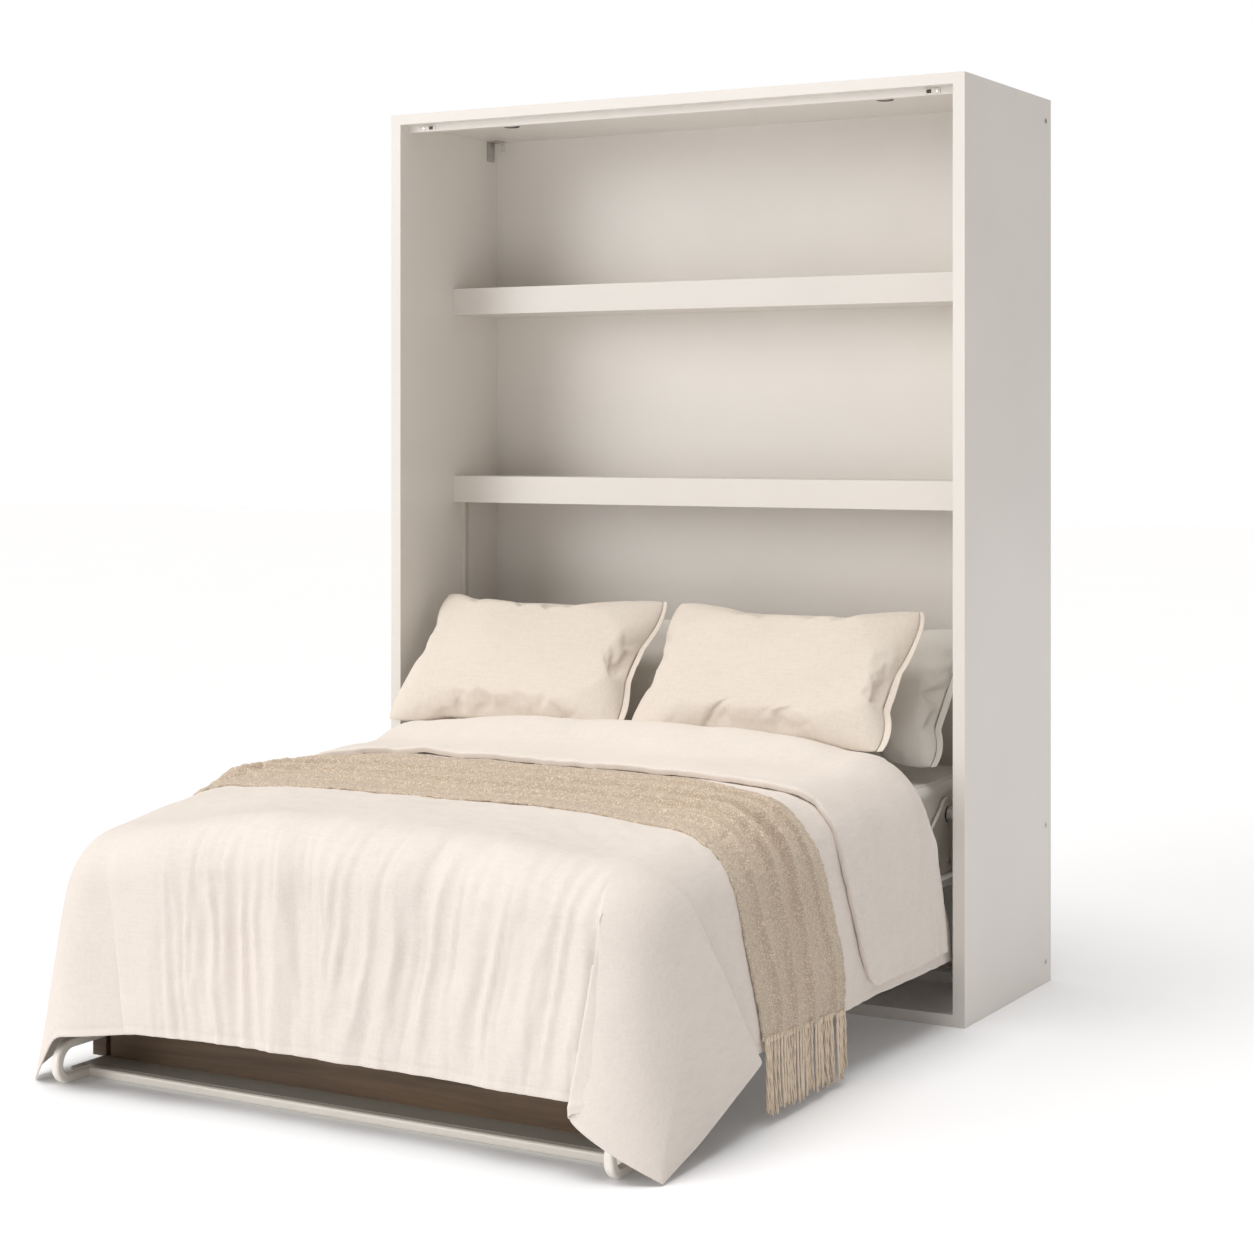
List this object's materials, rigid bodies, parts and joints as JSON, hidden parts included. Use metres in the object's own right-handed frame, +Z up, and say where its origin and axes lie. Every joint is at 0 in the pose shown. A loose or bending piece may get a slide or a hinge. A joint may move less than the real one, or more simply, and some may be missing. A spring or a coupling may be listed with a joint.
{
  "type": "murphy wall bed",
  "caption": "Murphy wall bed shown open: a tall shelved cabinet with a made-up bed that folds down on side pivots and stands on a hinged leg frame.",
  "frame": {"origin": "on the floor, at the middle of the cabinet's base", "axes": "+Z up, +Y towards the wall behind the cabinet, +X to the right of a person who faces the cabinet; the open bed reaches out along -Y"},
  "size_m": [1.6416, 2.0617, 2.25],
  "materials": {
    "lacquer": "satin",
    "cream_steel": "satin",
    "steel": "brushed",
    "dark_steel": "satin",
    "plain_wood": "matte",
    "birch": "satin",
    "lens": "clear",
    "bush": "matt",
    "ticking": "woven",
    "linen": "washed linen weave",
    "pillow_linen": "linen weave",
    "white_cotton": "percale weave",
    "throw_chenille": "chunky chenille weave"
  },
  "bodies": {
    "cabinet": {"side_panel_right": "lacquer", "side_panel_left": "lacquer", "side_skids": "lacquer", "top_board": "lacquer", "bottom_board": "lacquer", "back_panel": "lacquer", "wall_rails": "birch", "headboard": "lacquer", "wall_uprights": "cream_steel", "rear_floor_rail": "lacquer", "top_rail": "lacquer", "catch_plates": "cream_steel", "catch_bolts": "dark_steel", "catch_screws": "steel", "downlight_rims": "dark_steel", "downlight_lenses": "lens", "corner_brackets": "steel", "corner_bracket_screws": "steel", "back_panel_clips": "cream_steel", "base_brackets": "steel", "connector_bolts": "steel", "pivot_plates": "dark_steel", "pivot_pins": "steel", "strut_brackets": "dark_steel", "lower_shelf": "lacquer", "lower_shelf_batten": "birch", "upper_shelf": "lacquer", "upper_shelf_batten": "birch"},
    "bed": {"front_panel_right": "lacquer", "front_panel_left": "lacquer", "side_rail_right": "dark_steel", "side_rail_left": "dark_steel", "cross_rails": "dark_steel", "slats": "birch", "slat_ledges": "dark_steel", "pivot_arms": "dark_steel", "pivot_bushes": "bush", "arm_bolts": "steel", "strut_studs": "steel", "mattress_stop": "dark_steel", "leg_hinge_brackets": "dark_steel", "mattress": "ticking", "duvet": "linen", "duvet_turndown": "linen", "throw": "throw_chenille", "throw_fringe": "throw_chenille", "pillow_front_left": "pillow_linen", "pillow_front_right": "pillow_linen", "pillow_back_left": "white_cotton", "pillow_back_right": "white_cotton"},
    "leg": {"leg_board": "plain_wood", "leg_end_posts": "plain_wood", "leg_hinge_pins": "steel", "leg_foot_plate": "cream_steel", "leg_cross_bar": "cream_steel", "leg_hoop_right": "cream_steel", "leg_hoop_left": "cream_steel", "leg_edge_rods": "cream_steel"},
    "strut_cylinders": {"strut_cylinders": "dark_steel"},
    "strut_rods": {"strut_rods": "steel"}
  },
  "joints": [
    {"name": "bed_fold", "type": "hinge", "parent": "cabinet", "child": "bed", "pos_m": [0, -0.132, 0.474], "axis": [-1, 0, 0], "range_deg": [0, 90], "deforming": ["duvet", "duvet_turndown", "throw", "throw_fringe", "pillow_front_left", "pillow_front_right", "pillow_back_left", "pillow_back_right"]},
    {"name": "leg_fold", "type": "hinge", "parent": "bed", "child": "leg", "pos_m": [0, -1.536, 0.323], "axis": [-1, 0, 0], "range_deg": [0, 90]},
    {"name": "strut_swing", "type": "hinge", "parent": "cabinet", "child": "strut_cylinders", "pos_m": [0, 0.146, 0.874], "axis": [-1, 0, 0], "range_deg": [0, 12.67]},
    {"name": "strut_slide", "type": "slide", "parent": "strut_cylinders", "child": "strut_rods", "axis": [0, -0.2853, -0.9584], "range_m": [0, 0.18172]}
  ],
  "couplings": [
    {"joint": "leg_fold", "follows": "bed_fold", "ratio": 1},
    {"joint": "strut_swing", "follows": "bed_fold", "ratio": 0.1408},
    {"joint": "strut_slide", "follows": "bed_fold", "m_per_rad": 0.11569}
  ]
}
